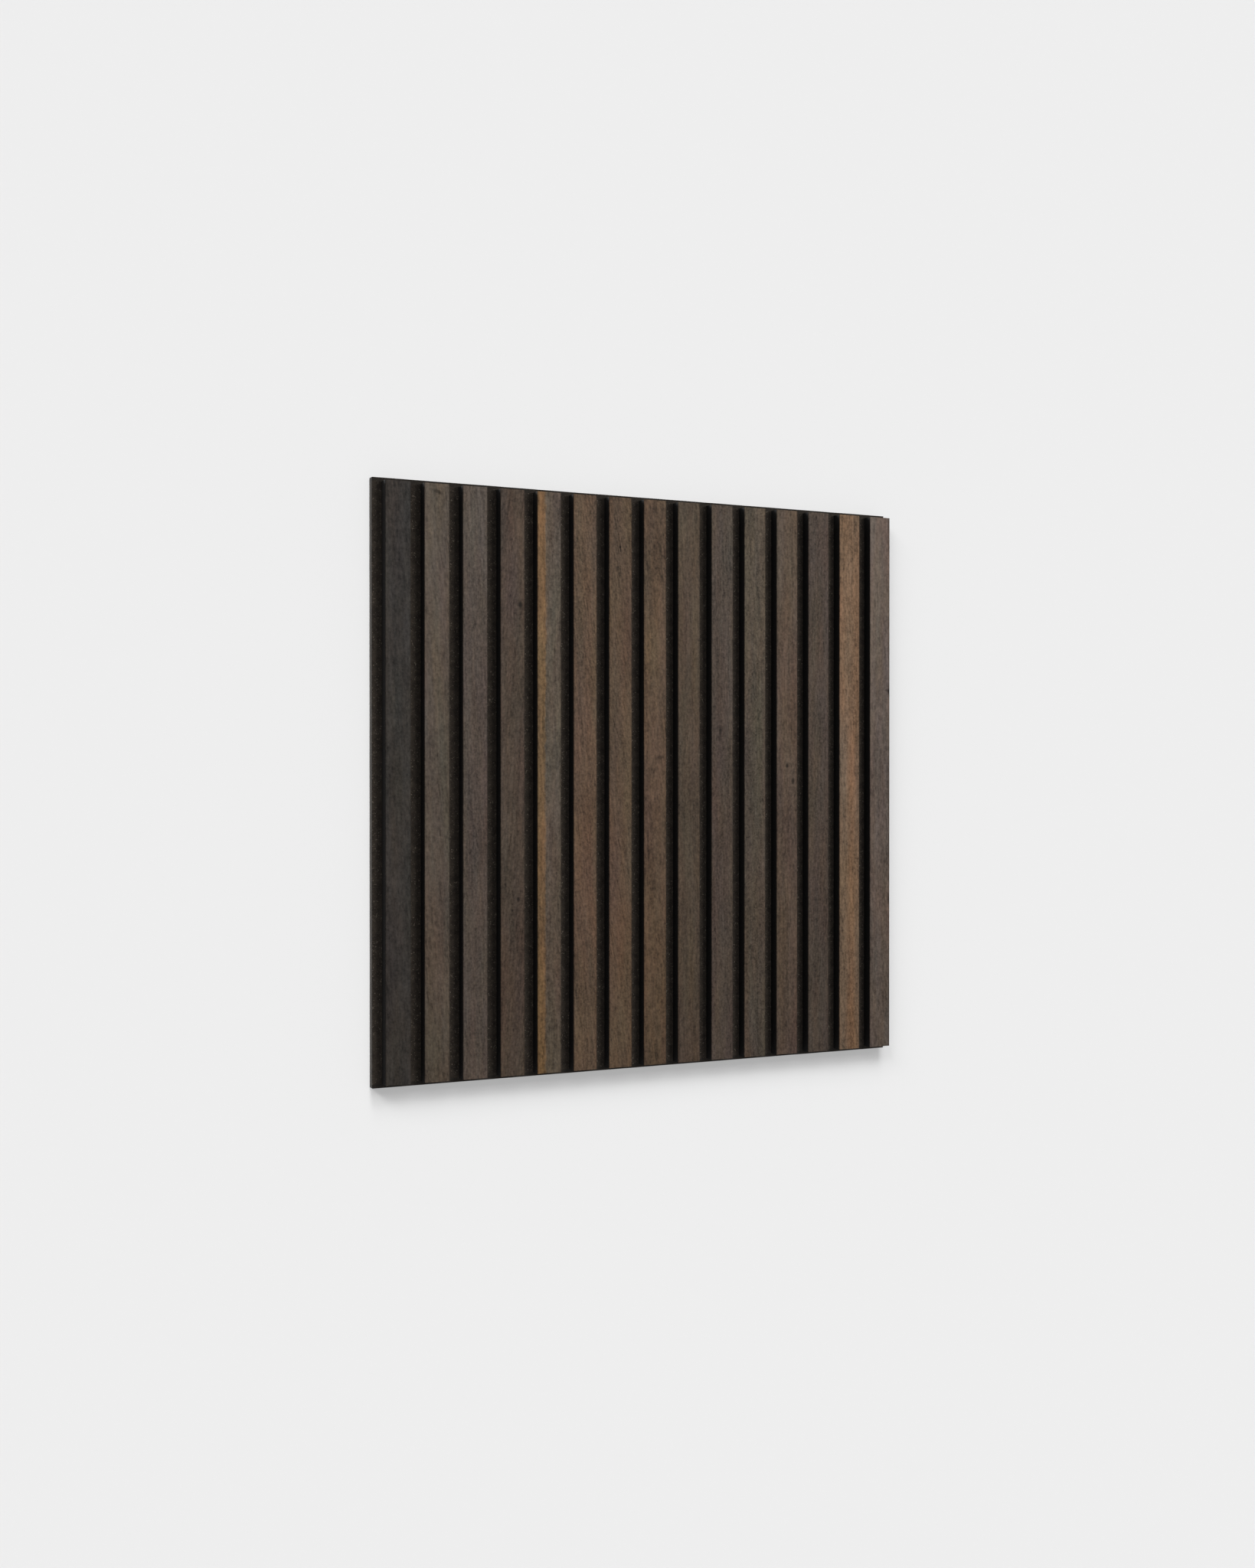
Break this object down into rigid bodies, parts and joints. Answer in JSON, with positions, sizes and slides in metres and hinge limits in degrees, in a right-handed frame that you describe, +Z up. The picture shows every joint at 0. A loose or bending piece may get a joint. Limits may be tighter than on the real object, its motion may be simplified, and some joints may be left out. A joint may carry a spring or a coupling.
{
  "type": "acoustic slat wall panel",
  "caption": "Square wall panel of upright dark oak-faced slats with narrow gaps between them, stapled to a black felt board that absorbs sound.",
  "frame": {"origin": "centre of the felt board's flat back face, which goes against the wall", "axes": "+Z up along the slats, +Y out of the back into the wall, +X to the right seen from the front; the slats face -Y"},
  "size_m": [0.596, 0.021, 0.6],
  "materials": {
    "felt": "matt pressed polyester felt, charcoal black",
    "core_black": "fibreboard with matt black edges",
    "oak_charcoal": "brushed smoked oak veneer, matt, charcoal",
    "oak_taupe": "brushed smoked oak veneer, matt, taupe",
    "oak_grey": "brushed smoked oak veneer, matt, grey-brown",
    "oak_brown": "brushed smoked oak veneer, matt, warm brown",
    "oak_honey": "brushed smoked oak veneer, matt, honey",
    "oak_mauve": "brushed smoked oak veneer, matt, mauve-grey",
    "staple_steel": "galvanised wire"
  },
  "bodies": {
    "root": {"felt_backing": "felt", "slat_core_01": "core_black", "slat_veneer_01": "oak_charcoal", "slat_core_02": "core_black", "slat_veneer_02": "oak_taupe", "slat_core_03": "core_black", "slat_veneer_03": "oak_taupe", "slat_core_04": "core_black", "slat_veneer_04": "oak_grey", "slat_core_05": "core_black", "slat_veneer_05": "oak_taupe", "slat_core_06": "core_black", "slat_veneer_06": "oak_brown", "slat_core_07": "core_black", "slat_veneer_07": "oak_brown", "slat_core_08": "core_black", "slat_veneer_08": "oak_brown", "slat_core_09": "core_black", "slat_veneer_09": "oak_grey", "slat_core_10": "core_black", "slat_veneer_10": "oak_grey", "slat_core_11": "core_black", "slat_veneer_11": "oak_grey", "slat_core_12": "core_black", "slat_veneer_12": "oak_grey", "slat_core_13": "core_black", "slat_veneer_13": "oak_grey", "slat_core_14": "core_black", "slat_veneer_14": "oak_honey", "slat_core_15": "core_black", "slat_veneer_15": "oak_mauve", "back_staples": "staple_steel"}
  },
  "joints": []
}
